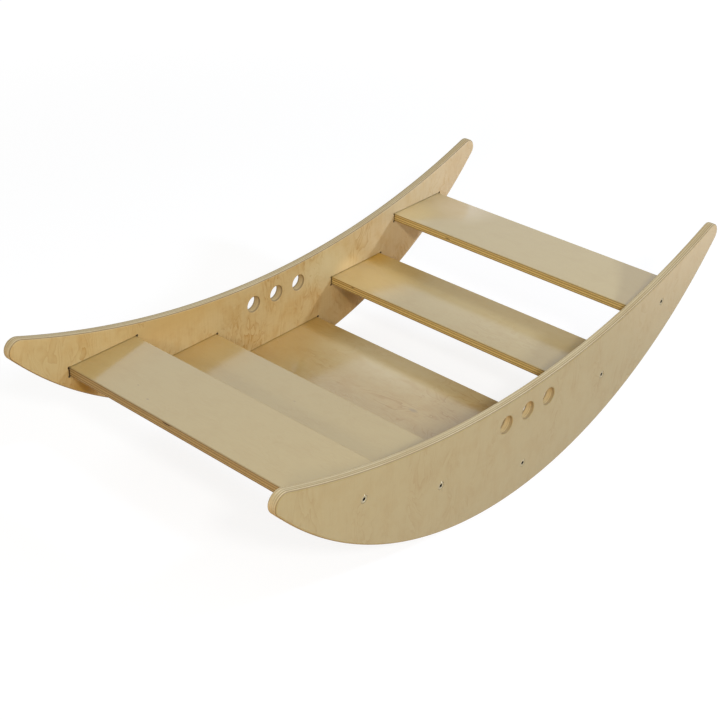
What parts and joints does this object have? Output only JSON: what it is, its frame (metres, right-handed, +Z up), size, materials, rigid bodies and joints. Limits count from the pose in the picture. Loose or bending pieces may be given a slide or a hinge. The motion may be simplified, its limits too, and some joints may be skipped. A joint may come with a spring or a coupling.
{
  "type": "wooden rocker arch",
  "caption": "Child's plywood rocker with crescent side panels, stepped slats between them and finger holes; turned over it is a low climbing arch.",
  "frame": {"origin": "on the floor, midway between the side panels, under the middle slat", "axes": "+X along the length, +Y across the width from the front panel to the back panel, +Z up"},
  "size_m": [0.858, 0.426, 0.2149],
  "materials": {
    "panel_plywood": "clear satin lacquer on birch plywood, layered edges",
    "slat_plywood": "clear satin lacquer on birch plywood, layered edges",
    "screw_steel": "satin zinc plate"
  },
  "bodies": {
    "root": {"side_panel_front": "panel_plywood", "side_panel_back": "panel_plywood", "slat_upper_left": "slat_plywood", "slat_lower_left": "slat_plywood", "slat_middle": "slat_plywood", "slat_lower_right": "slat_plywood", "slat_upper_right": "slat_plywood", "screw_front_upper_left": "screw_steel", "screw_front_lower_left": "screw_steel", "screw_front_middle": "screw_steel", "screw_front_lower_right": "screw_steel", "screw_front_upper_right": "screw_steel", "screw_back_upper_left": "screw_steel", "screw_back_lower_left": "screw_steel", "screw_back_middle": "screw_steel", "screw_back_lower_right": "screw_steel", "screw_back_upper_right": "screw_steel"}
  },
  "joints": []
}
